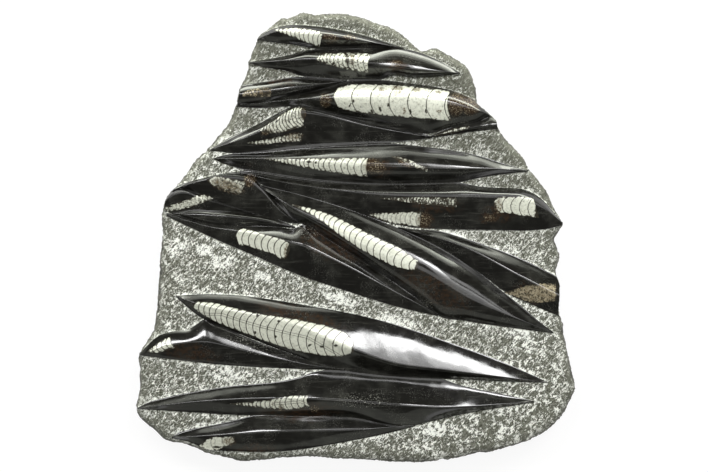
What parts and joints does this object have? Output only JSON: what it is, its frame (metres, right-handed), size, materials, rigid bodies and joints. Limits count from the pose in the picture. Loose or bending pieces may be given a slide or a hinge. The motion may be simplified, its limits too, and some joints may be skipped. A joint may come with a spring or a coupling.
{
  "type": "orthoceras fossil plate",
  "caption": "Broken slab of black fossil limestone, its face carved into polished spindle ridges that show straight-shelled fossils cut lengthwise, with pecked ground between them.",
  "frame": {"origin": "centre of the bounding box on the flat back that the plate lies on", "axes": "+Z out of the carved face, +X along the ridges from the shells' narrow ends to their mouths, +Y across them towards the plate's narrow end"},
  "size_m": [0.3317, 0.3398, 0.0433],
  "materials": {
    "black_limestone": "polished ridges, pecked grey ground and broken sides",
    "white_calcite": "polished",
    "brown_calcite": "polished"
  },
  "bodies": {
    "root": {"matrix_slab": "black_limestone", "orthocone_crown": "white_calcite", "orthocone_second": "white_calcite", "orthocone_third_west": "brown_calcite", "orthocone_third": "white_calcite", "orthocone_third_tail": "white_calcite", "orthocone_fourth": "white_calcite", "orthocone_fourth_low": "white_calcite", "orthocone_fifth": "white_calcite", "orthocone_fifth_curved": "white_calcite", "orthocone_sixth_slender": "white_calcite", "orthocone_sixth_low": "white_calcite", "orthocone_sixth_east": "white_calcite", "orthocone_west_upper": "white_calcite", "orthocone_west_small": "white_calcite", "orthocone_west_long": "white_calcite", "orthocone_diagonal": "white_calcite", "orthocone_east": "brown_calcite", "orthocone_great": "white_calcite", "orthocone_west_lower": "white_calcite", "orthocone_south": "white_calcite", "orthocone_south_front": "white_calcite"}
  },
  "joints": []
}
